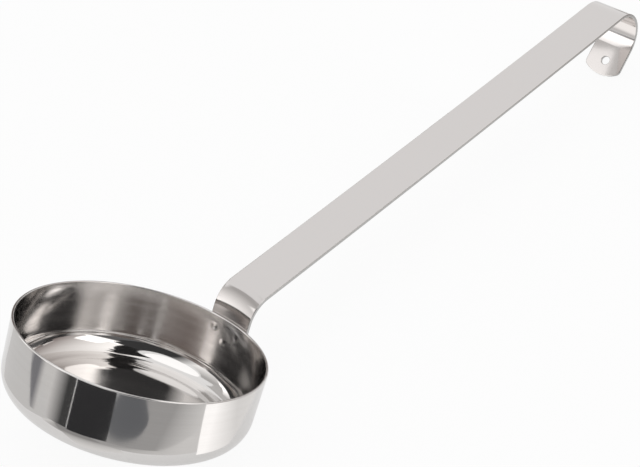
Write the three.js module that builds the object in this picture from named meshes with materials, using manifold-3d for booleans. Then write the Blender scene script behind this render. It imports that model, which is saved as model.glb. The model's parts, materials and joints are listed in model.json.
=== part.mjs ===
// Sauce spoon: a flat-bottomed bowl drawn from one sheet, with a handle bent from one steel strip that is
// spot-welded to the outside of the bowl's wall. Millimetres, +Z up. The spoon lies on a table at z = 0, as
// it settles by itself: on the edge of its bowl and the tip of its hook, with the handle along +X.

import * as THREE from 'three';
import { mergeVertices } from 'three/addons/utils/BufferGeometryUtils.js';
import Module from 'manifold-3d';

// Bowl
const bowlDiameter = 98; // outside, at the rim
const bowlHeight = 30.2;
const bowlSheet = 1; // thickness of its sheet
const bowlCorner = 10.5; // outside radius between floor and wall
const bowlDraft = 1.3; // degrees that the wall leans outwards

// Strip that the handle is bent from
const stripWidth = 19.8;
const stripThickness = 1.5;
const stripEndRadius = 16; // both ends are cropped round
const stripEndCorner = 2.8; // radius between a cropped end and the strip's edges

// Handle, from the bowl to the tail
const bendRise = 11.4; // from the rim up to the corner that the bend rounds off
const bendRadius = 12; // inside the bend, on the underside
const shankLength = 242; // between bend and hook
const shankSlope = 29.3; // degrees above the rim's plane, at the bowl's end
const shankBow = 1.5; // degrees that the shank steepens on its way to the hook
const hookRadius = 13.6; // inside the hook
const hookTurn = 138.4; // degrees that the hook curls through
const tailLength = 15.6; // straight end of the hook
const hangHoleDiameter = 4.2;
const hangHoleFromTip = 7.5;

// Spot welds between the handle's tab and the bowl's wall: a pair above and one below, all under the rim
const seamGap = 0.3; // between wall and tab
const weldDiameter = 5;
const weldPairSpacing = 12;
const weldPairDepth = 5; // below the rim
const weldLowerDepth = 9.5;
const weldToTabEnd = 7; // from the lower weld to the tab's cropped end
const weldBiteBowl = 0.4; // how far a weld reaches into the wall
const weldBiteTab = 0.7; // and into the tab
const weldClearance = 0.1;
const electrodeMarkDiameter = 4.4; // flat dents that the welding electrodes leave on both outer faces
const electrodeMarkDepth = 0.15;

// Fineness of the rounded shapes
const bowlSides = 64;
const holeSides = 24;
const arcSteps = 6;
const stepsAcrossStrip = 8;
const bendSteps = 8;
const shankSteps = 8;
const hookSteps = 18;
const cutMargin = 1; // how far a cutting shape stands out past what it cuts

const wasm = await Module();
wasm.setup();

const rimRadius = bowlDiameter / 2;
const draft = THREE.MathUtils.degToRad(bowlDraft);
const slope = THREE.MathUtils.degToRad(shankSlope);
const tabHeading = Math.PI / 2 - draft;
const tabDepth = weldLowerDepth + weldToTabEnd;
const cornerCentre = new THREE.Vector2(
  wallRadius(bowlHeight - bowlCorner) - bowlCorner / Math.cos(draft),
  bowlCorner,
);

// Outside radius of the bowl's wall at a depth below the rim.
function wallRadius(depth) {
  return rimRadius - depth * Math.tan(draft);
}

// A closed three.js geometry as a solid that can be cut.
function solidOf(geometry) {
  const bare = geometry.clone();
  bare.deleteAttribute('normal');
  bare.deleteAttribute('uv');
  const merged = mergeVertices(bare);
  const corners = merged.index.array;
  const triangles = [];
  for (let i = 0; i < corners.length; i += 3) {
    const [a, b, c] = corners.slice(i, i + 3);
    if (a !== b && b !== c && c !== a) {
      triangles.push(a, b, c);
    }
  }
  return new wasm.Manifold(new wasm.Mesh({
    numProp: 3,
    vertProperties: new Float32Array(merged.attributes.position.array),
    triVerts: new Uint32Array(triangles),
  }));
}

function geometryOf(solid) {
  const mesh = solid.getMesh();
  const geometry = new THREE.BufferGeometry();
  geometry.setAttribute('position', new THREE.BufferAttribute(mesh.vertProperties, 3));
  geometry.setIndex(new THREE.BufferAttribute(mesh.triVerts, 1));
  geometry.computeVertexNormals();
  return geometry;
}

// The bowl's floor, corner, wall and rim, turned about its own axis, with its underside at z = 0.
function bowlShell() {
  const profile = new THREE.Path();
  profile.moveTo(0, 0);
  profile.lineTo(cornerCentre.x, 0);
  profile.absarc(cornerCentre.x, cornerCentre.y, bowlCorner, -Math.PI / 2, -draft, false);
  profile.lineTo(rimRadius, bowlHeight);
  profile.lineTo(rimRadius - bowlSheet / Math.cos(draft), bowlHeight);
  profile.absarc(cornerCentre.x, cornerCentre.y, bowlCorner - bowlSheet, -draft, -Math.PI / 2, true);
  profile.lineTo(0, bowlSheet);
  const turned = new THREE.LatheGeometry(profile.getPoints(arcSteps / 2), bowlSides);
  return turned.rotateX(Math.PI / 2);
}

const welds = [
  { name: 'spot_weld_left', across: weldPairSpacing / 2, depth: weldPairDepth },
  { name: 'spot_weld_right', across: -weldPairSpacing / 2, depth: weldPairDepth },
  { name: 'spot_weld_lower', across: 0, depth: weldLowerDepth },
];

// A round plug through a weld's place, between two distances from the bowl's axis.
function radialPlug(weld, diameter, from, to) {
  const plug = new THREE.CylinderGeometry(diameter / 2, diameter / 2, to - from, holeSides);
  plug.rotateZ(-Math.PI / 2);
  plug.translate((from + to) / 2, 0, bowlHeight - weld.depth);
  return plug.rotateZ(Math.asin(weld.across / wallRadius(weld.depth)));
}

function weldNugget(weld) {
  const wall = wallRadius(weld.depth);
  const from = wall - weldBiteBowl + weldClearance;
  const to = wall + seamGap + weldBiteTab - weldClearance;
  return radialPlug(weld, weldDiameter, from, to);
}

// What a weld takes out of the wall: a blind pocket on the outside and an electrode's mark on the inside.
function bowlWeldCuts(weld) {
  const outside = wallRadius(weld.depth);
  const inside = outside - bowlSheet / Math.cos(draft);
  return [
    radialPlug(weld, weldDiameter + 2 * weldClearance, outside - weldBiteBowl, outside + cutMargin),
    radialPlug(weld, electrodeMarkDiameter, inside - cutMargin, inside + electrodeMarkDepth),
  ];
}

// What a weld takes out of the tab: a blind pocket on the bowl's side and a mark on the far side.
function tabWeldCuts(weld) {
  const seat = wallRadius(weld.depth) + seamGap;
  const farSide = seat + stripThickness;
  return [
    radialPlug(weld, weldDiameter + 2 * weldClearance, seat - cutMargin, seat + weldBiteTab),
    radialPlug(weld, electrodeMarkDiameter, farSide - electrodeMarkDepth, farSide + cutMargin),
  ];
}

function cutAway(geometry, cutters) {
  const solid = cutters.reduce((rest, cutter) => rest.subtract(solidOf(cutter)), solidOf(geometry));
  return geometryOf(solid);
}

// A station lies on the strip's bowl side at mid-width. It has its place in the XZ plane, its heading as an
// angle up from +X, and how far it moves in x and z where the strip falls back round the wall.
function station(x, z, heading, wrap) {
  return { x, z, heading, wrap };
}

// Carries a row of stations on along a straight or an arc. A positive turn curls up, a negative one down.
function carryOn(stations, length, turn, steps, wrap) {
  const start = stations[stations.length - 1];
  for (let step = 1; step <= steps; step++) {
    const share = step / steps;
    const halfTurn = (turn * share) / 2;
    const chord = turn === 0 ? length * share : (2 * length / turn) * Math.sin(halfTurn);
    const x = start.x + chord * Math.cos(start.heading + halfTurn);
    const z = start.z + chord * Math.sin(start.heading + halfTurn);
    stations.push(station(x, z, start.heading + 2 * halfTurn, wrap));
  }
}

// The strip's course from the tab's end to the root of the tail.
function stripCourse() {
  const onWall = { x: 1, z: 0 };
  const inBend = { x: 1, z: Math.tan(slope) };
  const onShank = { x: 0, z: 0 };
  const bendTurn = slope - tabHeading;
  const bendFace = bendRadius + stripThickness;
  const bendStart = bendRise - bendFace * Math.tan(-bendTurn / 2);
  const hookFace = hookRadius + stripThickness;
  const hookAngle = THREE.MathUtils.degToRad(hookTurn);
  const stations = [
    station(wallRadius(tabDepth) + seamGap, bowlHeight - tabDepth, tabHeading, onWall),
    station(rimRadius + seamGap, bowlHeight, tabHeading, onWall),
    station(wallRadius(-bendStart) + seamGap, bowlHeight + bendStart, tabHeading, inBend),
  ];
  carryOn(stations, bendFace * -bendTurn, bendTurn, bendSteps, inBend);
  carryOn(stations, shankLength, THREE.MathUtils.degToRad(shankBow), shankSteps, onShank);
  carryOn(stations, hookFace * hookAngle, -hookAngle, hookSteps, onShank);
  return stations;
}

// The same course with both ends drawn out, for the ends to be cropped.
function rawCourse(course) {
  const [tabEnd] = course;
  const x = tabEnd.x - cutMargin * Math.cos(tabHeading);
  const z = tabEnd.z - cutMargin * Math.sin(tabHeading);
  const raw = [station(x, z, tabHeading, tabEnd.wrap), ...course.slice(1)];
  carryOn(raw, tailLength + cutMargin, 0, 1, raw[raw.length - 1].wrap);
  return raw;
}

// How far a round wall falls back from its foremost line, at a distance to the side of it.
function fallBack(radius, across) {
  return radius - Math.sqrt(radius * radius - across * across);
}

// The strip swept along its stations: at each, one row of points on the bowl's side and one on the far side.
function sweptStrip(stations) {
  const points = [];
  for (const { x, z, heading, wrap } of stations) {
    for (const depth of [0, stripThickness]) {
      for (let step = 0; step <= stepsAcrossStrip; step++) {
        const across = stripWidth * (step / stepsAcrossStrip - 0.5);
        const fall = fallBack(rimRadius + seamGap + depth, across);
        points.push(
          x + depth * Math.sin(heading) - fall * wrap.x,
          across,
          z - depth * Math.cos(heading) - fall * wrap.z,
        );
      }
    }
  }
  const triangles = [];
  const quad = (a, b, c, d) => triangles.push(a, b, c, a, c, d);
  const row = stepsAcrossStrip + 1;
  const ring = 2 * row;
  for (let start = 0; start < (stations.length - 1) * ring; start += ring) {
    for (let near = start; near < start + stepsAcrossStrip; near++) {
      const far = near + row;
      quad(near, near + ring, near + ring + 1, near + 1);
      quad(far, far + 1, far + ring + 1, far + ring);
    }
    const left = start + stepsAcrossStrip;
    quad(start, start + row, start + row + ring, start + ring);
    quad(left, left + ring, left + row + ring, left + row);
  }
  const lastRing = (stations.length - 1) * ring;
  for (let step = 0; step < stepsAcrossStrip; step++) {
    const last = lastRing + step;
    quad(step, step + 1, step + row + 1, step + row);
    quad(last, last + row, last + row + 1, last + 1);
  }
  const geometry = new THREE.BufferGeometry();
  geometry.setAttribute('position', new THREE.Float32BufferAttribute(points, 3));
  geometry.setIndex(triangles);
  return geometry;
}

// What is cropped off past a round end that lies a length away: x along the strip, y across it.
function cropping(length) {
  const half = stripWidth / 2;
  const past = length + 2 * cutMargin;
  const endCentre = length - stripEndRadius;
  const filletAcross = half - stripEndCorner;
  const filletReach = stripEndRadius - stripEndCorner;
  const filletAlong = endCentre + Math.sqrt(filletReach * filletReach - filletAcross * filletAcross);
  const filletEnd = Math.atan2(filletAcross, filletAlong - endCentre);
  const outline = new THREE.Shape();
  outline.moveTo(filletAlong, half + cutMargin);
  outline.lineTo(filletAlong, half);
  outline.absarc(filletAlong, filletAcross, stripEndCorner, Math.PI / 2, filletEnd, true);
  outline.absarc(endCentre, 0, stripEndRadius, filletEnd, -filletEnd, true);
  outline.absarc(filletAlong, -filletAcross, stripEndCorner, -filletEnd, -Math.PI / 2, true);
  outline.lineTo(filletAlong, -half - cutMargin);
  outline.lineTo(past, -half - cutMargin);
  outline.lineTo(past, half + cutMargin);
  return outline;
}

function hangHole() {
  const outline = new THREE.Shape();
  outline.absarc(tailLength - hangHoleFromTip, 0, hangHoleDiameter / 2, 0, 2 * Math.PI, false);
  return outline;
}

// A flat outline as a cutter through the strip, from a place on its bowl side and along a heading.
function throughStrip(outline, place, heading, steps) {
  const depth = 2 * (stripThickness + cutMargin);
  const cutter = new THREE.ExtrudeGeometry(outline, { depth, bevelEnabled: false, curveSegments: steps / 2 });
  const along = new THREE.Vector3(Math.cos(heading), 0, Math.sin(heading));
  const across = new THREE.Vector3(0, 1, 0);
  const through = new THREE.Vector3().crossVectors(along, across);
  const onStrip = new THREE.Matrix4().makeBasis(along, across, through).setPosition(place.x, 0, place.z);
  return cutter.translate(0, 0, -depth / 2).applyMatrix4(onStrip);
}

function handleStrip(course) {
  const atRim = course[1];
  const tailRoot = course[course.length - 1];
  const cutters = [
    throughStrip(cropping(tabDepth / Math.cos(draft)), atRim, tabHeading + Math.PI, arcSteps),
    throughStrip(cropping(tailLength), tailRoot, tailRoot.heading, arcSteps),
    throughStrip(hangHole(), tailRoot, tailRoot.heading, holeSides),
    ...welds.flatMap(tabWeldCuts),
  ];
  return cutAway(sweptStrip(rawCourse(course)), cutters);
}

// The angle that the spoon turns down through, from a level rim, until the tip of its hook meets the table.
function lyingAngle(tailRoot) {
  const { x, z, heading } = tailRoot;
  const angles = [0, stripThickness].map((depth) => {
    const tipX = x + tailLength * Math.cos(heading) + depth * Math.sin(heading);
    const tipZ = z + tailLength * Math.sin(heading) - depth * Math.cos(heading);
    const reach = Math.hypot(tipX - cornerCentre.x, tipZ - cornerCentre.y);
    return Math.atan2(tipZ - cornerCentre.y, tipX - cornerCentre.x) + Math.asin(bowlCorner / reach);
  });
  return Math.min(...angles);
}

function steelPiece(name, geometry, color, roughness) {
  const piece = new THREE.Mesh(geometry, new THREE.MeshStandardMaterial({ color, roughness, metalness: 1 }));
  piece.name = name;
  return piece;
}

const course = stripCourse();
const assembly = new THREE.Group();
assembly.add(steelPiece('bowl', cutAway(bowlShell(), welds.flatMap(bowlWeldCuts)), 0xc9c7c5, 0.12));
assembly.add(steelPiece('handle', handleStrip(course), 0xd0cdca, 0.3));
for (const weld of welds) {
  assembly.add(steelPiece(weld.name, weldNugget(weld), 0xb4b1ae, 0.45));
}

// Laid on the table, with the origin under the middle of the spoon.
assembly.rotation.y = lyingAngle(course[course.length - 1]);
const spoon = new THREE.Group();
spoon.add(assembly);
const extent = new THREE.Box3().setFromObject(spoon, true);
const middle = extent.getCenter(new THREE.Vector3());
assembly.position.set(-middle.x, -middle.y, -extent.min.z);

export default spoon;
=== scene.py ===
"""A polished steel sauce spoon on a white table: its bowl, its strip handle, its welds and the studio."""

import json
import math

import bpy
from bpy.props import FloatProperty, FloatVectorProperty, IntProperty, PointerProperty
from mathutils import Euler, Matrix, Quaternion, Vector


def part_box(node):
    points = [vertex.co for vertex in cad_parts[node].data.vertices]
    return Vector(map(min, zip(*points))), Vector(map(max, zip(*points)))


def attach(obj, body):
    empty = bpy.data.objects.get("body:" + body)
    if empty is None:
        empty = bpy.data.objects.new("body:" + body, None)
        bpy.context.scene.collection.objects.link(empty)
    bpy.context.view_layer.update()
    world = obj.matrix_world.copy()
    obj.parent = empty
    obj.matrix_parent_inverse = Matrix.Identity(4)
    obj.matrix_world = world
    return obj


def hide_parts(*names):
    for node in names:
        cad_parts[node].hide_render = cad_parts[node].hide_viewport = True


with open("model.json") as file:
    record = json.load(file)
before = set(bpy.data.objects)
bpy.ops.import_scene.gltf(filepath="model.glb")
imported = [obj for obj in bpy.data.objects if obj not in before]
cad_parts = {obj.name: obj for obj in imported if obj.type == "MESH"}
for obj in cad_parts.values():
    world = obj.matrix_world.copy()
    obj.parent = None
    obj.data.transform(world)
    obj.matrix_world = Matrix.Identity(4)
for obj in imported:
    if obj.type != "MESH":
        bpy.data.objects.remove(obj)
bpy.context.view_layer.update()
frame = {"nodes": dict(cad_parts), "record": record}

bl_info = {
    "name": "Sauce Spoon",
    "version": (1, 0, 0),
    "blender": (4, 5, 0),
    "location": "3D View > Sidebar > Spoon",
    "description": "Models a flat-bottomed sauce spoon of stainless steel, with its studio",
    "category": "Add Mesh",
}

MM = 0.001
MOUNTS = {mount["name"]: mount for mount in frame["record"]["mounts"]}

# The bowl's own frame has its underside at the origin and its axis along +Z. The spoon lies turned about Y.
BASE = Vector(MOUNTS["bowl_base"]["pos_m"])
BOWL_UP = -Vector(MOUNTS["bowl_base"]["axis"])
TURN = math.atan2(BOWL_UP.x, BOWL_UP.z)
LYING = Matrix.Translation(BASE) @ Matrix.Rotation(TURN, 4, "Y")


def width_of(node):
    """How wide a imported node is, across the spoon."""
    low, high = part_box(node)
    return high.y - low.y


def height_over_base(node):
    """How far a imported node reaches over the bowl's underside, along the bowl's axis."""
    return max((vertex.co - BASE).dot(BOWL_UP) for vertex in frame["nodes"][node].data.vertices)


def length(name, description, millimetres):
    """A size property, set in millimetres."""
    return FloatProperty(
        name=name, description=description, default=millimetres * MM, min=0.0, unit="LENGTH", precision=5
    )


def angle(name, description, degrees):
    """An angle property, set in degrees."""
    return FloatProperty(name=name, description=description, default=math.radians(degrees), subtype="ANGLE")


def colour(name, description, value):
    """A colour property."""
    return FloatVectorProperty(
        name=name, description=description, default=value, subtype="COLOR", min=0.0, max=1.0
    )


def share(name, description, value):
    """A number from 0 to 1."""
    return FloatProperty(
        name=name, description=description, default=value, min=0.0, max=1.0, subtype="FACTOR"
    )


def level(name, description, value):
    """How brightly something shines."""
    return FloatProperty(name=name, description=description, default=value, min=0.0)


def count(name, description, value):
    """A whole number of steps."""
    return IntProperty(name=name, description=description, default=value, min=1)


class BowlSizes(bpy.types.PropertyGroup):
    """Sizes of the drawn bowl."""

    diameter: length("Diameter", "Outside, at the rim", width_of("bowl") / MM)
    height: length("Height", "From the underside to the rim", height_over_base("bowl") / MM)
    sheet: length("Sheet", "Thickness of the sheet", 1.0)
    corner: length("Corner", "Outside radius between floor and wall", 10.5)
    draft: angle("Draft", "How far the wall leans outwards", 1.3)
    rim_round: length("Rim round", "Radius of the rim's two edges", 0.35)
    brace: length("Brace", "From a corner to the row of faces that keeps the sheet beside it flat", 0.12)
    sides: count("Sides", "Steps round the bowl", 512)
    arc_steps: count("Arc steps", "Steps along each corner", 32)
    rim_steps: count("Rim steps", "Steps round each of the rim's edges", 5)
    floor_rows: count("Floor rows", "Steps along the floor, inside and outside", 6)
    outer_rows: count("Outer rows", "Steps up the outside of the wall", 10)
    inner_rows: count("Inner rows", "Steps down the inside of the wall", 34)


class HandleSizes(bpy.types.PropertyGroup):
    """Sizes of the bent strip."""

    width: length("Width", "Width of the strip", width_of("handle") / MM)
    thickness: length("Thickness", "Thickness of the strip", 1.5)
    edge_round: length("Edge round", "Radius along the strip's edges", 0.3)
    end_radius: length("End radius", "Radius of the cropped ends", 16.0)
    end_corner: length("End corner", "Radius between a cropped end and the edges", 2.8)
    seam_gap: length("Seam gap", "Between the bowl's wall and the tab", 0.3)
    tab_depth: length("Tab depth", "From the rim down to the tab's end", 16.5)
    bend_rise: length("Bend rise", "From the rim up to the corner that the bend rounds off", 11.4)
    bend_radius: length("Bend radius", "Inside the bend, on the underside", 12.0)
    shank_length: length("Shank length", "Between bend and hook", 242.0)
    shank_slope: angle("Shank slope", "Above the rim's plane, at the bowl's end", 29.3)
    shank_bow: angle("Shank bow", "How far the shank steepens on its way to the hook", 1.5)
    hook_radius: length("Hook radius", "Inside the hook", 13.6)
    hook_turn: angle("Hook turn", "How far the hook curls", 138.4)
    tail_length: length("Tail length", "Straight end of the hook", 15.6)
    hole_diameter: length("Hole diameter", "Hanging hole", 4.2)
    hole_from_tip: length("Hole from tip", "From the tail's tip to the hole's middle", 7.5)
    settle_length: length("Settle length", "Part of the shank over which the tab's curve dies out", 34.2)
    row_step: length("Row step", "Between rows of faces along the tab", 0.5)
    column_step: length("Column step", "Between rows of faces across the strip", 0.6)
    rise_rows: count("Rise rows", "Steps between rim and bend", 11)
    bend_rows: count("Bend rows", "Steps round the bend", 24)
    shank_rows: count("Shank rows", "Steps along the shank", 24)
    hook_rows: count("Hook rows", "Steps round the hook", 56)
    corner_steps: count("Corner steps", "Steps round each corner of a cropped end", 10)
    end_steps: count("End steps", "Steps along a cropped end", 28)
    edge_steps: count("Edge steps", "Steps round the strip's edges", 4)
    hole_sides: count("Hole sides", "Steps round the hanging hole", 64)
    edge_angle: angle("Edge angle", "Corners sharper than this are rounded", 50.0)
    smooth_angle: angle("Smooth angle", "Corners flatter than this are shaded smooth", 40.0)


class WeldSizes(bpy.types.PropertyGroup):
    """Places of the three spot welds, and the marks that the electrodes leave."""

    pair_spacing: length("Pair spacing", "Between the two upper welds", 12.0)
    pair_depth: length("Pair depth", "From the rim down to the upper welds", 5.0)
    lower_depth: length("Lower depth", "From the rim down to the lower weld", 9.5)
    mark_diameter: length("Mark diameter", "Flat of an electrode's mark", 1.4)
    mark_soft: length("Mark soft", "Width of the slope round a mark", 0.75)
    mark_depth: length("Mark depth", "How deep a mark is pressed in", 0.09)


class SteelLooks(bpy.types.PropertyGroup):
    """Colours and finishes of the steel."""

    bowl_colour: colour("Bowl colour", "Polished steel", (0.77, 0.755, 0.745))
    bowl_rough: share("Bowl roughness", "Roughness of the polish", 0.07)
    streak_colour: colour("Streak colour", "Streaks that the polishing wheel left", (0.66, 0.64, 0.625))
    strip_colour: colour("Strip colour", "Satin steel", (0.64, 0.614, 0.603))
    strip_rough: share("Strip roughness", "Roughness of the satin", 0.085)
    # Duller shear-cut metal on the edges, and painted shade where this colour reaches over the edge rounds
    edge_and_shade_colour: colour("Edge colour", "Sheared edges of the strip", (0.54, 0.535, 0.525))
    tab_rough: share("Tab roughness", "Roughness of the satin on the tab", 0.2)
    weld_colour: colour("Weld colour", "Fused steel", (0.42, 0.4, 0.38))
    heat_colour: colour("Heat colour", "Fused steel that the heat turned brown", (0.3, 0.24, 0.2))
    weld_rough: share("Weld roughness", "Roughness of the fused metal", 0.45)


class StudioSizes(bpy.types.PropertyGroup):
    """Table, room and camera."""

    table_size: length("Table size", "Side of the white table", 8000.0)
    table_colour: colour("Table colour", "White sheet", (0.86, 0.86, 0.86))
    room_fill: level("Room fill", "Light that the white room sheds on matt surfaces", 0.85)
    table_glow: share("Table glow", "How far the lit sheet hides its shadows from the camera", 0.91)
    camera_place: FloatVectorProperty(
        name="Camera place", description="Where the camera stands", default=(-0.36166, -0.3406, 0.44049),
        subtype="TRANSLATION", precision=5,
    )
    camera_turn: FloatVectorProperty(
        name="Camera turn", description="How the camera is turned",
        default=[math.radians(degrees) for degrees in (49.0846, 3.7009, -47.1002)], subtype="EULER",
    )
    camera_lens: FloatProperty(
        name="Lens", description="Focal length on a 36 mm frame", default=84.99, unit="CAMERA"
    )


# Shader maths


class Signal:
    """An output socket that takes part in sums."""

    def __init__(self, bench, socket):
        self.bench = bench
        self.socket = socket

    def maths(self, operation, first, second):
        return self.bench.node("ShaderNodeMath", {"operation": operation}, {0: first, 1: second})

    def __add__(self, other):
        return self.maths("ADD", self, other)

    def __radd__(self, other):
        return self.maths("ADD", other, self)

    def __sub__(self, other):
        return self.maths("SUBTRACT", self, other)

    def __rsub__(self, other):
        return self.maths("SUBTRACT", other, self)

    def __mul__(self, other):
        return self.maths("MULTIPLY", self, other)

    def __rmul__(self, other):
        return self.maths("MULTIPLY", other, self)

    def __truediv__(self, other):
        return self.maths("DIVIDE", self, other)

    def __rtruediv__(self, other):
        return self.maths("DIVIDE", other, self)

    def __pow__(self, other):
        return self.maths("POWER", self, other)

    def __gt__(self, other):
        return self.maths("GREATER_THAN", self, other)


class Bench:
    """Makes and joins the nodes of one material or world."""

    def __init__(self, owner):
        owner.use_nodes = True
        self.tree = owner.node_tree
        self.tree.nodes.clear()

    def node(self, kind, settings=None, inputs=None, output=0):
        """Adds a node, sets it up, fills its sockets and gives back one of its outputs."""
        made = self.tree.nodes.new(kind)
        for name, value in (settings or {}).items():
            setattr(made, name, value)
        for key, value in (inputs or {}).items():
            if isinstance(value, Signal):
                self.tree.links.new(value.socket, made.inputs[key])
            else:
                made.inputs[key].default_value = value
        return Signal(self, made.outputs[output]) if made.outputs else None

    def between(self, value, from_low, from_high, to_low, to_high):
        """Carries a number from one range into another, and keeps it there."""
        ends = {"From Min": from_low, "From Max": from_high, "To Min": to_low, "To Max": to_high}
        return self.node("ShaderNodeMapRange", {"clamp": True}, {"Value": value, **ends})

    def noise(self, dimensions, inputs):
        """Noise between 0 and 1."""
        return self.node("ShaderNodeTexNoise", {"noise_dimensions": dimensions, "normalize": True}, inputs)

    def tints(self, share_of_second, first, second):
        """A colour between two colours."""
        settings = {"data_type": "RGBA", "blend_type": "MIX"}
        return self.node("ShaderNodeMix", settings, {0: share_of_second, 6: first, 7: second}, output=2)

    def surface(self, shader):
        """Ends a material with its shader."""
        self.node("ShaderNodeOutputMaterial", None, {"Surface": shader})


# Ranges that noise mostly keeps to, the second for a stronger contrast
NOISE_SPAN = (0.3, 0.7)
STRONG_SPAN = (0.35, 0.65)
# Lines of the polish in a millimetre, and how high they and the satin's grain stand
FINE_LINES = 3.0
BROAD_LINES = 0.35
LINE_HEIGHT = 0.02 * MM
# Attribute with each point's place on the strip before it was bent
FLAT_PLACE = "flat_place"


def metal(bench, inputs):
    """Ends a material as bare metal."""
    bench.surface(bench.node("ShaderNodeBsdfPrincipled", None, {"Metallic": 1.0, **inputs}))


def rgba(colour_value):
    """A colour with its alpha, as sockets take it."""
    return (*colour_value, 1.0)


def polished_steel(looks, sizes):
    """The bowl's polish: fine lines and dull streaks round its axis, strongest inside the wall."""
    material = bpy.data.materials.new("polished_steel")
    bench = Bench(material)
    place = bench.node("ShaderNodeTexCoord", None, None, "Object")
    upright = bench.node(
        "ShaderNodeMapping", {"vector_type": "TEXTURE"},
        {"Vector": place, "Location": BASE, "Rotation": Euler((0.0, TURN, 0.0))},
    )
    x, y, z = (bench.node("ShaderNodeSeparateXYZ", None, {0: upright}, axis) for axis in range(3))
    radius = (x * x + y * y) ** 0.5
    along_section = (radius + z) / MM
    fine = bench.noise("1D", {"W": along_section, "Scale": FINE_LINES, "Detail": 1.0, "Roughness": 0.5})
    broad = bench.noise("1D", {"W": along_section, "Scale": BROAD_LINES, "Detail": 2.0, "Roughness": 0.5})
    wall_middle = (z - sizes.height) * math.tan(sizes.draft) + (sizes.diameter - sizes.sheet) / 2
    inside = (wall_middle > radius) * (z > sizes.sheet / 2)
    on_wall = bench.between(z, sizes.corner, sizes.corner * 1.4, 0.0, 1.0)
    turned = inside * on_wall
    relief = (fine - 0.5 + (broad - 0.5) * 2.0) * turned
    lines = bench.node("ShaderNodeBump", None, {"Strength": 0.07, "Distance": LINE_HEIGHT, "Height": relief})
    haze = fine * 0.5 + broad * 0.5
    dulled = bench.between(haze, *NOISE_SPAN, 0.6, 1.6) * turned
    rough = (bench.between(haze, *NOISE_SPAN, 0.75, 1.05) + dulled) * looks.bowl_rough
    streaks = bench.between(haze, *STRONG_SPAN, 0.0, 1.0) * (turned * 0.4 + 0.2)
    streaked = streaks + (1 - turned) * 0.45
    tint = bench.tints(streaked, rgba(looks.bowl_colour), rgba(looks.streak_colour))
    metal(bench, {"Base Color": tint, "Roughness": rough, "Normal": lines})
    return material


def satin_steel(looks, sizes):
    """The strip's satin: a fine grain along the strip, dullest on the tab, and darker shear-cut edges; where
    that darkening reaches over the edge rounds it is a painted shade line.
    """
    material = bpy.data.materials.new("satin_steel")
    bench = Bench(material)
    flat = bench.node("ShaderNodeAttribute", {"attribute_name": FLAT_PLACE}, None, "Vector")
    stretched = bench.node(
        "ShaderNodeMapping", {"vector_type": "POINT"}, {"Vector": flat, "Scale": (60.0, 4000.0, 4000.0)}
    )
    grain = bench.noise("3D", {"Vector": stretched, "Scale": 1.0, "Detail": 2.0, "Roughness": 0.6})
    along, depth = (bench.node("ShaderNodeSeparateXYZ", None, {0: flat}, axis) for axis in (0, 2))
    from_middle = ((depth + sizes.thickness / 2) ** 2.0) ** 0.5
    # The darker band reaches over the edge rounds almost to the faces: a painted shade line along every
    # edge, besides the duller shear-cut metal
    edge_to_face = (sizes.thickness * 0.44, sizes.thickness * 0.498)
    sheared_and_shaded = bench.between(from_middle, *edge_to_face, 1.0, 0.0)
    past_tab = (sizes.tab_depth, sizes.tab_depth * 1.5)
    dulling = bench.between(along, *past_tab, looks.tab_rough, looks.strip_rough)
    rough = dulling * bench.between(grain, *NOISE_SPAN, 0.85, 1.15) + sheared_and_shaded * 0.15
    tint = bench.tints(sheared_and_shaded, rgba(looks.strip_colour), rgba(looks.edge_and_shade_colour))
    relief = grain * bench.between(along, *past_tab, 0.4, 1.0)
    lines = bench.node("ShaderNodeBump", None, {"Strength": 0.05, "Distance": LINE_HEIGHT, "Height": relief})
    metal(bench, {"Base Color": tint, "Roughness": rough, "Normal": lines})
    return material


def fused_steel(looks):
    """The welds: dull metal that the heat turned brown in patches."""
    material = bpy.data.materials.new("fused_steel")
    bench = Bench(material)
    place = bench.node("ShaderNodeTexCoord", None, None, "Object")
    heat = bench.noise("3D", {"Vector": place, "Scale": 900.0, "Detail": 3.0})
    patches = bench.between(heat, *STRONG_SPAN, 0.0, 1.0)
    tint = bench.tints(patches, rgba(looks.weld_colour), rgba(looks.heat_colour))
    rough = bench.between(heat, *NOISE_SPAN, looks.weld_rough * 0.8, looks.weld_rough * 1.2)
    metal(bench, {"Base Color": tint, "Roughness": rough})
    return material


# Modelling by hand


def edit_mode():
    """Starts work on the active object's mesh."""
    bpy.ops.object.mode_set(mode="EDIT")


def object_mode():
    """Ends work on the active object's mesh."""
    bpy.ops.object.mode_set(mode="OBJECT")


def select_nothing():
    """Deselects every object, before a new one is added."""
    bpy.ops.object.select_all(action="DESELECT")


def select_only(piece):
    """Selects one piece and makes it the active one."""
    select_nothing()
    piece.select_set(True)
    bpy.context.view_layer.objects.active = piece


def active_piece():
    """The object that was added last."""
    return bpy.context.view_layer.objects.active


def draw_chain(name, points):
    """A new object in edit mode: one row of edges through points, all selected."""
    select_nothing()
    bpy.ops.mesh.primitive_plane_add(size=MM)
    piece = active_piece()
    piece.name = name
    piece.data.name = name
    edit_mode()
    bpy.ops.mesh.merge(type="CENTER")
    bpy.ops.transform.translate(value=points[0])
    for start, end in zip(points, points[1:]):
        bpy.ops.mesh.extrude_vertices_move(TRANSFORM_OT_translate={"value": end - start})
    bpy.ops.mesh.select_all(action="SELECT")
    return piece


def tidy_skin():
    """Merges what lies on itself and turns every face outwards."""
    bpy.ops.mesh.select_all(action="SELECT")
    bpy.ops.mesh.remove_doubles(threshold=0.001 * MM)
    bpy.ops.mesh.normals_make_consistent(inside=False)


def finish_with(piece, kind, **settings):
    """Adds a modifier to a piece and applies it."""
    modifier = piece.modifiers.new(kind.title(), kind)
    for name, value in settings.items():
        setattr(modifier, name, value)
    select_only(piece)
    bpy.ops.object.modifier_apply(modifier=modifier.name)


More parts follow.
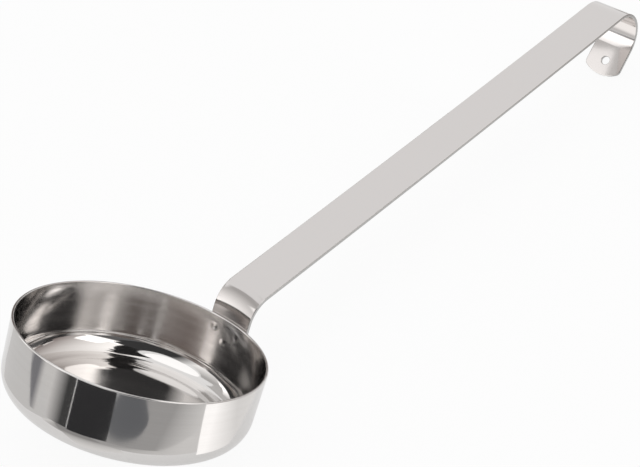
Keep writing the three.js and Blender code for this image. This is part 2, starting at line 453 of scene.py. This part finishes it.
def lay_down(piece, material):
    """Carries a piece from the bowl's frame to where it lies, and gives it its material."""
    piece.matrix_world = LYING
    select_only(piece)
    bpy.ops.object.transform_apply(location=True, rotation=True, scale=True)
    piece.data.materials.clear()
    piece.data.materials.append(material)


def run(start, end, steps):
    """The points of a straight run in equal steps, without its first point."""
    return [start.lerp(end, step / steps) for step in range(1, steps + 1)]


def braced_run(start, end, steps, brace):
    """A straight run with one more point close to each end, which keeps its shading flat."""
    inwards = (end - start).normalized() * brace
    return [start + inwards] + run(start + inwards, end - inwards, steps) + [end]


def arc(centre, radius, first, last, steps):
    """The points of an arc in the XZ plane. Angles go up from +X."""
    turns = [first + (last - first) * step / steps for step in range(steps + 1)]
    return [centre + radius * Vector((math.cos(turn), 0.0, math.sin(turn))) for turn in turns]


def eased(value):
    """Eases a number from 0 to 1, and keeps it there."""
    value = min(1.0, max(0.0, value))
    return value * value * (3.0 - 2.0 * value)


# The bowl


def wall_radius(sizes, height):
    """Outside radius of the wall at a height over the underside."""
    return sizes.diameter / 2 - (sizes.height - height) * math.tan(sizes.draft)


def bowl_section(sizes):
    """Half the bowl cut through its axis: underside, outer wall, rim, inner wall and floor."""
    corner, sheet, draft, rim_round = sizes.corner, sizes.sheet, sizes.draft, sizes.rim_round
    slant = 1 / math.cos(draft)
    quarter = math.pi / 2
    corner_centre = Vector((wall_radius(sizes, corner) - corner * slant, 0.0, corner))
    lip = sizes.height - rim_round
    outer_lip = Vector((wall_radius(sizes, lip) - rim_round * slant, 0.0, lip))
    inner_lip = Vector((wall_radius(sizes, lip) - (sheet - rim_round) * slant, 0.0, lip))
    outer_corner = arc(corner_centre, corner, -quarter, -draft, sizes.arc_steps)
    inner_corner = arc(corner_centre, corner - sheet, -draft, -quarter, sizes.arc_steps)
    outer_edge = arc(outer_lip, rim_round, -draft, quarter, sizes.rim_steps)
    inner_edge = arc(inner_lip, rim_round, quarter, 2 * quarter - draft, sizes.rim_steps)
    section = [Vector((0.0, 0.0, 0.0))]
    section += braced_run(section[-1], outer_corner[0], sizes.floor_rows, sizes.brace)
    section += outer_corner[1:]
    section += braced_run(section[-1], outer_edge[0], sizes.outer_rows, sizes.brace)
    section += outer_edge[1:]
    section += inner_edge
    section += braced_run(section[-1], inner_corner[0], sizes.inner_rows, sizes.brace)
    section += inner_corner[1:]
    section += braced_run(section[-1], Vector((0.0, 0.0, sheet)), sizes.floor_rows, sizes.brace)
    return section


def weld_places(welds):
    """Each weld's place across the spoon, and its depth below the rim."""
    half = welds.pair_spacing / 2
    return [(half, welds.pair_depth), (-half, welds.pair_depth), (0.0, welds.lower_depth)]


def mark_pressed(welds, distance):
    """How far an electrode's mark is pressed in, from 1 on its flat to 0 outside."""
    return 1.0 - eased((distance - welds.mark_diameter / 2) / welds.mark_soft)


def press_bowl_marks(piece, sizes, welds):
    """Presses the electrodes' marks into the inside of the wall."""
    marks = piece.vertex_groups.new(name="electrode_marks")
    for vertex in piece.data.vertices:
        radius = vertex.co.xy.length
        inside = vertex.co.x > 0 and radius < wall_radius(sizes, vertex.co.z) - sizes.sheet / 2
        if not inside or vertex.co.z < sizes.corner:
            continue
        for across, depth in weld_places(welds):
            spot = math.atan2(vertex.co.y, vertex.co.x) * radius
            distance = math.hypot(spot - across, sizes.height - depth - vertex.co.z)
            pressed = mark_pressed(welds, distance)
            if pressed > 0:
                marks.add([vertex.index], pressed, "ADD")
    finish_with(
        piece, "DISPLACE", vertex_group=marks.name, direction="NORMAL",
        mid_level=0.0, strength=-welds.mark_depth,
    )
    piece.vertex_groups.clear()


class SPOON_OT_bowl(bpy.types.Operator):
    """Turns the bowl from its section and presses the welders' marks into its wall"""

    bl_idname = "spoon.bowl"
    bl_label = "Bowl"

    def execute(self, context):
        sizes = context.scene.spoon_bowl
        piece = draw_chain("drawn_bowl", bowl_section(sizes))
        bpy.ops.mesh.spin(
            steps=sizes.sides, angle=2 * math.pi, use_auto_merge=True,
            center=(0.0, 0.0, 0.0), axis=(0.0, 0.0, 1.0),
        )
        tidy_skin()
        object_mode()
        press_bowl_marks(piece, sizes, context.scene.spoon_welds)
        bpy.ops.object.shade_smooth()
        lay_down(piece, polished_steel(context.scene.spoon_looks, sizes))
        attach(piece, "root")
        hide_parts("bowl")
        return {"FINISHED"}


# The handle


class StripCourse:
    """Where the flat strip goes when it is bent. Lengths run on its bowl side, from the tab's end."""

    def __init__(self, bowl, handle):
        self.bowl = bowl
        self.handle = handle
        upright = math.pi / 2 - bowl.draft
        bend_turn = handle.shank_slope - upright
        bend_face = handle.bend_radius + handle.thickness
        hook_face = handle.hook_radius + handle.thickness
        rise = handle.bend_rise - bend_face * math.tan(-bend_turn / 2)
        slant = 1 / math.cos(bowl.draft)
        tab_end = bowl.height - handle.tab_depth
        self.start = (wall_radius(bowl, tab_end) + handle.seam_gap, tab_end, upright)
        self.legs = [
            (handle.tab_depth * slant, 0.0),
            (rise * slant, 0.0),
            (bend_face * -bend_turn, bend_turn),
            (handle.shank_length, handle.shank_bow),
            (hook_face * handle.hook_turn, -handle.hook_turn),
            (handle.tail_length, 0.0),
        ]
        self.ends = [sum(leg[0] for leg in self.legs[: i + 1]) for i in range(len(self.legs))]
        self.rim, self.bend, self.shank, self.hook, self.tail, self.tip = self.ends

    def station(self, along):
        """Place in the XZ plane and heading at a length along the strip."""
        x, z, heading = self.start
        for leg_length, turn in self.legs:
            part = min(along, leg_length)
            half = turn * part / leg_length / 2
            chord = part * (math.sin(half) / half if half else 1.0)
            x += chord * math.cos(heading + half)
            z += chord * math.sin(heading + half)
            heading += 2 * half
            along -= part
        return x, z, heading

    def bent(self, flat):
        """Carries a point of the flat strip to where it is on the bent one."""
        along, across, depth = flat.x, flat.y, -flat.z
        x, z, heading = self.station(along)
        radius = self.bowl.diameter / 2 + self.handle.seam_gap + depth
        fall = radius - math.sqrt(radius * radius - across * across)
        settled = 1.0 - eased((along - self.shank) / self.handle.settle_length)
        climbing = eased((along - self.rim) / (self.bend - self.rim))
        return Vector((
            x + depth * math.sin(heading) - fall * settled,
            across,
            z - depth * math.cos(heading) - fall * settled * climbing * math.tan(self.handle.shank_slope),
        ))

    def rows(self):
        """Lengths at which the flat strip is cut across, closest where it is bent."""
        sizes = self.handle
        stretches = [
            (0.0, self.rim, math.ceil(self.rim / sizes.row_step)),
            (self.rim, self.bend, sizes.rise_rows),
            (self.bend, self.shank, sizes.bend_rows),
            (self.shank, self.hook, sizes.shank_rows),
            (self.hook, self.tail, sizes.hook_rows),
        ]
        return [a + (b - a) * step / steps for a, b, steps in stretches for step in range(1, steps + 1)]


def cropped_end(sizes, tip):
    """The round end of the flat strip, from its left edge to its right."""
    half = sizes.width / 2
    end_centre = tip - sizes.end_radius
    across = half - sizes.end_corner
    reach = sizes.end_radius - sizes.end_corner
    along = end_centre + math.sqrt(reach * reach - across * across)
    meeting = math.atan2(across, along - end_centre)
    stretches = [
        (along, across, sizes.end_corner, math.pi / 2, meeting, sizes.corner_steps),
        (end_centre, 0.0, sizes.end_radius, meeting, -meeting, sizes.end_steps),
        (along, -across, sizes.end_corner, -meeting, -math.pi / 2, sizes.corner_steps),
    ]
    points = []
    for x, y, radius, first, last, steps in stretches:
        for step in range(steps):
            turn = first + (last - first) * step / steps
            points.append(Vector((x + radius * math.cos(turn), y + radius * math.sin(turn), 0.0)))
    return points + [Vector((along, -half, 0.0))]


def punch_hole(piece, sizes, tip):
    """Punches the hanging hole through the flat strip."""
    select_nothing()
    bpy.ops.mesh.primitive_cylinder_add(
        vertices=sizes.hole_sides, radius=sizes.hole_diameter / 2, depth=4 * sizes.thickness,
        location=(tip - sizes.hole_from_tip, 0.0, -sizes.thickness / 2),
    )
    punch = active_piece()
    finish_with(piece, "BOOLEAN", operation="DIFFERENCE", solver="EXACT", object=punch)
    bpy.data.objects.remove(punch)


def score(places, direction):
    """Cuts the whole mesh through at each place along a direction."""
    for place in places:
        bpy.ops.mesh.select_all(action="SELECT")
        bpy.ops.mesh.bisect(plane_co=direction * place, plane_no=direction)


def bend_strip(piece, course, welds):
    """Bends the flat strip along its course and presses the electrodes' marks into the tab's far side."""
    mesh = piece.data
    flat_place = mesh.attributes.new(FLAT_PLACE, "FLOAT_VECTOR", "POINT")
    far_side = -course.handle.thickness * 0.9
    for vertex in mesh.vertices:
        flat = vertex.co.copy()
        flat_place.data[vertex.index].vector = flat
        if flat.z < far_side:
            for across, depth in weld_places(welds):
                distance = math.hypot(flat.x - (course.rim - depth), flat.y - across)
                flat.z += welds.mark_depth * mark_pressed(welds, distance)
        vertex.co = course.bent(flat)
    mesh.update()


class SPOON_OT_handle(bpy.types.Operator):
    """Cuts the strip to its outline, punches its hole, rounds its edges and bends it along its course"""

    bl_idname = "spoon.handle"
    bl_label = "Handle"

    def execute(self, context):
        sizes = context.scene.spoon_handle
        course = StripCourse(context.scene.spoon_bowl, sizes)
        end = cropped_end(sizes, course.tip)
        other_end = [Vector((course.tip - point.x, -point.y, 0.0)) for point in end]
        piece = draw_chain("strip_handle", end + other_end)
        bpy.ops.mesh.edge_face_add()
        bpy.ops.mesh.extrude_region_move(TRANSFORM_OT_translate={"value": (0.0, 0.0, -sizes.thickness)})
        tidy_skin()
        object_mode()
        punch_hole(piece, sizes, course.tip)
        finish_with(
            piece, "BEVEL", width=sizes.edge_round, segments=sizes.edge_steps, limit_method="ANGLE",
            angle_limit=sizes.edge_angle, use_clamp_overlap=False,
        )
        edit_mode()
        count_across = math.ceil(sizes.width / sizes.column_step)
        columns = [sizes.width * (step / count_across - 0.5) for step in range(1, count_across)]
        score(course.rows(), Vector((1.0, 0.0, 0.0)))
        score(columns, Vector((0.0, 1.0, 0.0)))
        tidy_skin()
        object_mode()
        bend_strip(piece, course, context.scene.spoon_welds)
        bpy.ops.object.shade_smooth_by_angle(angle=sizes.smooth_angle)
        finish_with(piece, "WEIGHTED_NORMAL", mode="FACE_AREA", keep_sharp=True)
        lay_down(piece, satin_steel(context.scene.spoon_looks, sizes))
        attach(piece, "root")
        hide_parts("handle")
        return {"FINISHED"}


class SPOON_OT_welds(bpy.types.Operator):
    """Gives the three spot welds between wall and tab their fused steel"""

    bl_idname = "spoon.welds"
    bl_label = "Spot welds"

    def execute(self, context):
        material = fused_steel(context.scene.spoon_looks)
        for side in ("left", "right", "lower"):
            weld = frame["nodes"][f"spot_weld_{side}"]
            weld.data.materials.clear()
            weld.data.materials.append(material)
        return {"FINISHED"}


# The studio

# The cards go round the point on the table under the middle of the bowl's underside
UNDER_BOWL = Vector((BASE.x, 0.0, 0.0))
# Tints that more than one card has
WHITE = (1.0, 1.0, 1.0)
PALE = (1.0, 0.99, 0.98)
GREY = (0.66, 0.66, 0.66)
DIM = (0.55, 0.54, 0.53)
SLATE = (0.23, 0.23, 0.245)
# Brown painted shade: the table shaded under the handle, as the inside of the bowl shows it
WARM_SHADE = (0.2, 0.175, 0.165)
DARK = (0.05, 0.05, 0.051)
BLACK = (0.02, 0.02, 0.02)


def emission(bench, tint):
    """A plain glow."""
    return bench.node("ShaderNodeEmission", None, {"Color": rgba(tint), "Strength": 1.0})


def towards(azimuth, elevation):
    """A direction from the bowl, in degrees: azimuth 0 looks along -Y and 90 along +X."""
    turn, rise = math.radians(azimuth), math.radians(elevation)
    return Vector((math.sin(turn) * math.cos(rise), -math.cos(turn) * math.cos(rise), math.sin(rise)))


def show_in_steel_only(piece, tint, far_tint, fade):
    """Gives a card its glow, which may fade between two points, and shows it in reflections alone."""
    material = bpy.data.materials.new(piece.name)
    bench = Bench(material)
    glow = emission(bench, tint)
    if fade:
        start, end = (piece.matrix_world.inverted() @ point for point in fade)
        along = (end - start) / (end - start).length_squared
        place = bench.node("ShaderNodeTexCoord", None, None, "Object")
        offset = bench.node("ShaderNodeVectorMath", {"operation": "SUBTRACT"}, {0: place, 1: start})
        reached = bench.node(
            "ShaderNodeVectorMath", {"operation": "DOT_PRODUCT"}, {0: offset, 1: along}, "Value"
        )
        factor = bench.between(reached, 0.0, 1.0, 0.0, 1.0)
        glow = bench.node("ShaderNodeMixShader", None, {0: factor, 1: glow, 2: emission(bench, far_tint)})
    bench.surface(glow)
    piece.data.materials.append(material)
    piece.visible_camera = False
    piece.visible_diffuse = False
    piece.visible_shadow = False


def curved_card(name, tint, azimuths, elevations, distance=0.9, far_tint=None, fade=None):
    """A card bent round the bowl, given in degrees. It may fade between two directions."""
    low, high = (math.radians(value) for value in elevations)
    first, last = (math.radians(value) for value in azimuths)
    upright_steps, round_steps = 12, 24
    piece = draw_chain(name, arc(Vector((0.0, 0.0, 0.0)), distance, low, high, upright_steps))
    bpy.ops.mesh.spin(
        steps=round_steps, angle=first - last, center=(0.0, 0.0, 0.0), axis=(0.0, 0.0, 1.0)
    )
    object_mode()
    piece.matrix_world = Matrix.Translation(UNDER_BOWL) @ Matrix.Rotation(first - math.pi / 2, 4, "Z")
    ends = [UNDER_BOWL + towards(*direction) * distance for direction in fade] if fade else None
    show_in_steel_only(piece, tint, far_tint, ends)


def table_card(name, tint, corners, height, far_tint=None, fade=None):
    """A card just over the table, given in millimetres. It may fade between two points."""
    piece = draw_chain(name, [Vector((x * MM, y * MM, height * MM)) for x, y in corners])
    bpy.ops.mesh.edge_face_add()
    object_mode()
    ends = [Vector((x * MM, y * MM, 0.0)) for x, y in fade] if fade else None
    show_in_steel_only(piece, tint, far_tint, ends)


def softbox(name, aim, direction, distance, size, radiance, roll=0.0, shape="RECTANGLE"):
    """A lamp that looks at a point from a direction. It may be rolled, and may be round."""
    away = towards(*direction)
    width, height = size
    select_nothing()
    bpy.ops.object.light_add(type="AREA", location=aim + away * distance)
    lamp = active_piece()
    lamp.name = name
    turned = away.to_track_quat("Z", "Y") @ Quaternion((0.0, 0.0, 1.0), math.radians(roll))
    lamp.rotation_euler = turned.to_euler()
    lamp.data.shape = shape
    lamp.data.size = width
    lamp.data.size_y = height
    area = width * height * (math.pi / 4 if shape == "ELLIPSE" else 1.0)
    lamp.data.energy = radiance * math.pi * area


def seen_rays(bench, camera, glossy):
    """How much of a white glow each kind of ray gets."""
    is_ray = {name: bench.node("ShaderNodeLightPath", None, None, f"Is {name} Ray")
              for name in ("Camera", "Glossy", "Transmission")}
    return is_ray["Camera"] * camera + is_ray["Glossy"] * glossy + is_ray["Transmission"] * glossy


def white_room(fill):
    """A white room: full white to the camera and in reflections, a little less on matt surfaces."""
    world = bpy.data.worlds.new("white_room")
    bpy.context.scene.world = world
    bench = Bench(world)
    matt = bench.node("ShaderNodeBackground", None, {"Color": rgba(WHITE), "Strength": fill})
    seen = bench.node("ShaderNodeBackground", None, {"Color": rgba(WHITE), "Strength": 1.0})
    mixed = bench.node("ShaderNodeMixShader", None, {0: seen_rays(bench, 1.0, 1.0), 1: matt, 2: seen})
    bench.node("ShaderNodeOutputWorld", None, {"Surface": mixed})


def white_table(studio):
    """The sheet that the spoon lies on, lit through from below, so that its shadows stay light."""
    select_nothing()
    bpy.ops.mesh.primitive_plane_add(size=studio.table_size)
    table = active_piece()
    table.name = "white_table"
    material = bpy.data.materials.new("white_sheet")
    bench = Bench(material)
    sheet = bench.node("ShaderNodeBsdfDiffuse", None, {"Color": rgba(studio.table_colour)})
    glow = emission(bench, WHITE)
    glow_in_steel = studio.table_glow * 0.5
    through = seen_rays(bench, studio.table_glow, glow_in_steel)
    bench.surface(bench.node("ShaderNodeMixShader", None, {0: through, 1: sheet, 2: glow}))
    table.data.materials.append(material)


def stand_camera(studio):
    """Stands the camera where the photograph was taken from."""
    select_nothing()
    bpy.ops.object.camera_add(location=studio.camera_place, rotation=studio.camera_turn)
    camera = active_piece()
    camera.data.lens = studio.camera_lens
    camera.data.sensor_width = 36.0
    camera.data.clip_start = 0.01
    bpy.context.scene.camera = camera


def hang_lamps():
    """Soft lamps: in front of the bowl, over it, and close beside the hook."""
    softbox(
        "front_softbox", UNDER_BOWL, direction=(21.5, 29.0), distance=1.45, size=(0.46, 0.74), radiance=0.95
    )
    softbox(
        "top_softbox", UNDER_BOWL, direction=(165.0, 82.0), distance=1.0, size=(0.7, 0.7), radiance=0.4,
        shape="ELLIPSE",
    )
    beside_hook = Vector((0.18, 0.0632, 0.0695))
    softbox(
        "hook_softbox", beside_hook, direction=(-90.0, 0.0), distance=0.082, size=(0.04, 0.0947),
        radiance=0.62, roll=24.2,
    )


def hang_glows():
    """Bright cards in front of the bowl and behind it."""
    curved_card(
        "front_glow", (1.4, 1.37, 1.34), azimuths=(-5.0, 98.0), elevations=(-4.0, 64.0), distance=1.5,
        far_tint=(0.29, 0.245, 0.23), fade=((52.0, 54.0), (52.0, 2.0)),
    )
    curved_card(
        "back_glow", (1.9, 1.88, 1.86), azimuths=(-180.0, -104.0), elevations=(-2.0, 62.0), distance=0.95,
        far_tint=DIM, fade=((-102.0, 18.0), (-167.0, 48.0)),
    )
    curved_card(
        "back_strip", PALE, azimuths=(-169.0, -153.0), elevations=(18.0, 41.0), distance=0.8,
        far_tint=(1.8, 1.79, 1.77), fade=((-153.0, 32.0), (-163.0, 32.0)),
    )
    curved_card(
        "back_strip_end", (1.75, 1.74, 1.72), azimuths=(-190.0, -169.0), elevations=(18.0, 39.0),
        distance=0.8, far_tint=DIM, fade=((-170.0, 30.0), (-187.0, 24.0)),
    )


def hang_dark_cards():
    """Dark, dim and warm cards, which the inside of the bowl shows. The warm ones are painted shade: the
    shaded table under the handle.
    """
    curved_card(
        "dark_side", DARK, azimuths=(-117.0, 9.5), elevations=(45.0, 71.5),
        far_tint=PALE, fade=((-87.0, 56.0), (-117.0, 56.0)),
    )
    curved_card(
        "dark_side_middle", DARK, azimuths=(-117.0, -6.0), elevations=(39.0, 45.0),
        far_tint=PALE, fade=((-87.0, 45.0), (-117.0, 45.0)),
    )
    curved_card(
        "dark_side_low", (0.14, 0.14, 0.142), azimuths=(-62.0, 13.0), elevations=(10.0, 52.0), distance=1.4,
        far_tint=(2.0, 1.96, 1.92), fade=((0.0, 32.5), (5.5, 34.0)),
    )
    curved_card("dim_back", (0.6, 0.59, 0.58), azimuths=(152.0, 187.0), elevations=(18.0, 50.0))
    curved_card("dark_bar", BLACK, azimuths=(9.5, 94.5), elevations=(56.3, 71.5))
    curved_card("dark_post", BLACK, azimuths=(80.0, 95.0), elevations=(48.5, 56.3))
    curved_card("dark_step", BLACK, azimuths=(66.0, 80.0), elevations=(52.5, 56.3))
    # Painted shade of the table under the handle, seen in the bowl's inner wall
    curved_card("warm_shade_side", WARM_SHADE, azimuths=(90.0, 101.0), elevations=(-4.0, 4.0))
    curved_card("warm_shade_back", WARM_SHADE, azimuths=(133.0, 178.0), elevations=(-6.0, 27.0), distance=0.3)
    curved_card("warm_shade_back_low", WARM_SHADE, azimuths=(110.0, 135.0), elevations=(-6.0, 14.0), distance=0.3)


def hang_flags():
    """Low cards to the left of the bowl, which its outer wall shows."""
    curved_card("grey_flag", GREY, azimuths=(-170.0, -139.5), elevations=(-9.0, 10.0), distance=0.41)
    curved_card(
        "slate_flag_left", GREY, azimuths=(-140.0, -129.0), elevations=(-9.0, 10.0), distance=0.4,
        far_tint=SLATE, fade=((-138.5, 0.0), (-134.0, 0.0)),
    )
    curved_card(
        "slate_flag", SLATE, azimuths=(-129.5, -120.0), elevations=(-9.0, 10.0), distance=0.4,
        far_tint=(0.7, 0.69, 0.68), fade=((-127.0, 0.0), (-121.0, 0.0)),
    )
    curved_card(
        "black_flag_left", (0.72, 0.71, 0.7), azimuths=(-121.5, -93.1), elevations=(-6.0, 10.0),
        far_tint=(0.06, 0.06, 0.06), fade=((-113.0, 0.0), (-99.0, 0.0)),
    )
    curved_card(
        "black_flag", (0.035, 0.035, 0.037), azimuths=(-91.6, -60.0), elevations=(-7.0, 10.0), distance=0.5
    )


def lay_sheets():
    """Cards on the table: left of the bowl, in front of it, and on both sides of the handle. Some of them
    are painted shade and some painted light on the table, which only the steel shows.
    """
    # Painted shade: the table in front of the bowl on the camera's side, darker away from the bowl; the
    # steel alone shows it
    grey_shade_corners = (
        (-118, -92), (-200, -133), (-260, -146), (-600, -215), (-1000, -290), (-1000, -1000), (-250, -320),
        (-128, -150),
    )
    table_card(
        "grey_shade_sheet", (0.84, 0.83, 0.82), grey_shade_corners, height=0.5,
        far_tint=(0.415, 0.41, 0.405), fade=((-125, -100), (-205, -152)),
    )
    shade_rim_corners = (
        (-118, -84), (-190, -88), (-240, -75), (-300, -80), (-420, -110), (-1000, -200), (-1000, -330),
        (-260, -165), (-200, -145), (-118, -104),
    )
    table_card(
        "grey_shade_sheet_rim", (0.78, 0.77, 0.76), shade_rim_corners, height=0.3,
        far_tint=(0.45, 0.445, 0.44), fade=((-160, -95), (-300, -110)),
    )
    left_corners = (
        (-175, 115), (-215, 105), (-260, 85), (-400, 100), (-1000, 250), (-1000, 700), (-300, 400),
        (-175, 250),
    )
    table_card("left_sheet", (0.7, 0.695, 0.69), left_corners, height=0.5)
    foot_corners = (
        (-205, -10), (-215, -60), (-240, -78), (-300, -84), (-420, -114), (-1000, -205), (-1000, 200),
        (-370, 36), (-262, 2),
    )
    table_card(
        "foot_sheet", (0.87, 0.86, 0.85), foot_corners, height=0.2,
        far_tint=(0.33, 0.325, 0.32), fade=((-212, -20), (-335, -20)),
    )
    foot_end_corners = ((-285, 9), (-370, 34), (-1000, 198), (-1000, 420), (-390, 110), (-320, 62))
    table_card(
        "foot_sheet_end", (0.42, 0.415, 0.41), foot_end_corners, height=0.25,
        far_tint=(0.82, 0.81, 0.8), fade=((-371, 31), (-359, 80)),
    )
    slate_corners = (
        (-300, -191), (-283, -190), (-275, -196), (-281, -206), (-315, -234), (-900, -680), (-980, -390),
        (-560, -257), (-475, -236),
    )
    table_card("slate_sheet", (0.15, 0.155, 0.165), slate_corners, height=1.0)
    # Painted light: a bright pool on the table beside the bowl, where the wall throws the front lamp's
    # light; the steel alone shows it
    painted_caustic_corners = ((-133, -124), (-147, -70), (-90, -45), (-75, -100))
    table_card(
        "painted_caustic_sheet", (1.38, 1.365, 1.355), painted_caustic_corners, height=1.5,
        far_tint=(0.89, 0.88, 0.87), fade=((-126, -95), (-100, -77)),
    )
    # Painted shade: the table in front of the handle, darker than the white sheet and browner away from it;
    # the steel alone shows it
    warm_shade_corners = (
        (-30, -35), (240, -35), (320, 75), (520, 170), (1500, 420), (1500, -1500), (100, -1500),
        (-60, -120),
    )
    table_card(
        "warm_shade_sheet", (0.8, 0.795, 0.79), warm_shade_corners, height=0.5,
        far_tint=(0.35, 0.31, 0.295), fade=((100, -40), (200, -140)),
    )
    # Painted light: a lit patch of table under the hook and the shank's end, brighter than the shaded table
    # there; the steel alone shows it
    hook_lit_patch_corners = ((168, -8), (166, 42), (20, 150), (-20, 70), (125, 0))
    table_card(
        "hook_lit_patch_sheet", (1.35, 1.33, 1.31), hook_lit_patch_corners, height=0.5,
        far_tint=(0.78, 0.77, 0.76), fade=((145, 25), (112, 42)),
    )


class SPOON_OT_studio(bpy.types.Operator):
    """Sets up the camera, the white table and room, the lamps and the cards"""

    bl_idname = "spoon.studio"
    bl_label = "Studio"

    def execute(self, context):
        studio = context.scene.spoon_studio
        context.scene.view_settings.view_transform = "Standard"
        stand_camera(studio)
        white_room(studio.room_fill)
        white_table(studio)
        hang_lamps()
        hang_glows()
        hang_dark_cards()
        hang_flags()
        lay_sheets()
        return {"FINISHED"}


class SPOON_PT_panel(bpy.types.Panel):
    """Lists what makes up the spoon"""

    bl_label = "Sauce Spoon"
    bl_idname = "SPOON_PT_panel"
    bl_space_type = "VIEW_3D"
    bl_region_type = "UI"
    bl_category = "Spoon"

    def draw(self, context):
        column = self.layout.column()
        for operator in OPERATORS:
            column.operator(operator.bl_idname)


GROUPS = {
    "spoon_bowl": BowlSizes,
    "spoon_handle": HandleSizes,
    "spoon_welds": WeldSizes,
    "spoon_looks": SteelLooks,
    "spoon_studio": StudioSizes,
}
OPERATORS = (SPOON_OT_studio, SPOON_OT_bowl, SPOON_OT_handle, SPOON_OT_welds)
CLASSES = (*GROUPS.values(), *OPERATORS, SPOON_PT_panel)


def register():
    for made in CLASSES:
        bpy.utils.register_class(made)
    for name, group in GROUPS.items():
        setattr(bpy.types.Scene, name, PointerProperty(type=group))


def unregister():
    for name in GROUPS:
        delattr(bpy.types.Scene, name)
    for made in reversed(CLASSES):
        bpy.utils.unregister_class(made)


def main():
    register()
    bpy.ops.spoon.studio()
    bpy.ops.spoon.bowl()
    bpy.ops.spoon.handle()
    bpy.ops.spoon.welds()


if __name__ == "__main__":
    main()
